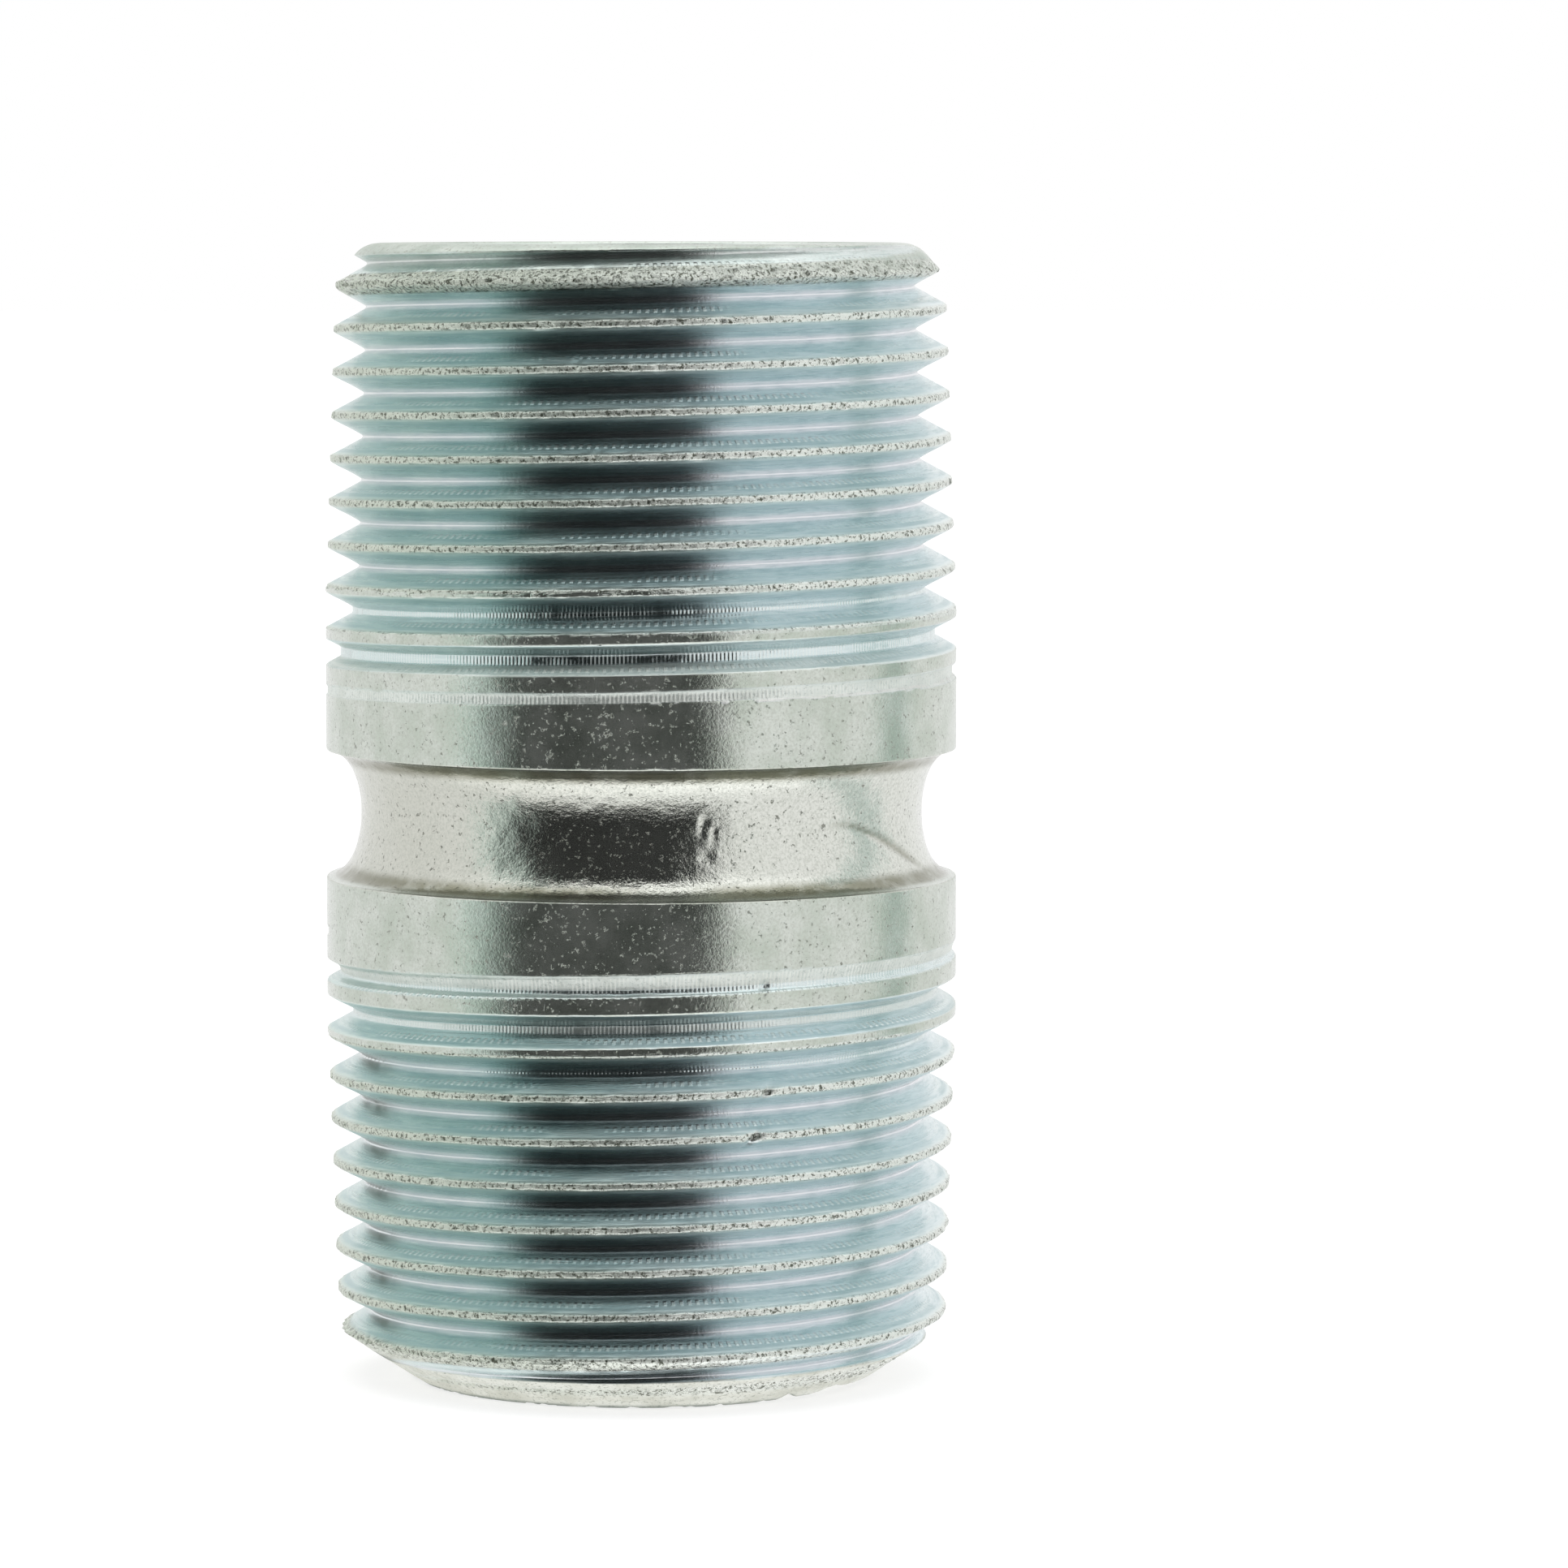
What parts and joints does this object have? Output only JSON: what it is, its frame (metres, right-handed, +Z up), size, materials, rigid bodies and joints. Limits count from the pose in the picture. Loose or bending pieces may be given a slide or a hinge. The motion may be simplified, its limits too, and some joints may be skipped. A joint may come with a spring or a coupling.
{
  "type": "threaded pipe nipple",
  "caption": "Short zinc-plated steel pipe nipple with taper pipe threads at both ends, a plain waist with a rolled groove, and a thermoplastic bore liner.",
  "frame": {"origin": "centre of the lower end face, on the bore's axis", "axes": "+Z up along the pipe's axis, -Y towards the viewer; the thread starts are set by the first crest on the -X side"},
  "size_m": [0.0266, 0.0266, 0.048],
  "materials": {
    "zinc_plated_steel": "bright zinc plating with a blue passivate: cut threads over a matte pitted pipe skin",
    "liner_plastic": "moulded natural polypropylene, satin"
  },
  "bodies": {
    "root": {"nipple_body": "zinc_plated_steel", "bore_liner": "liner_plastic"}
  },
  "joints": []
}
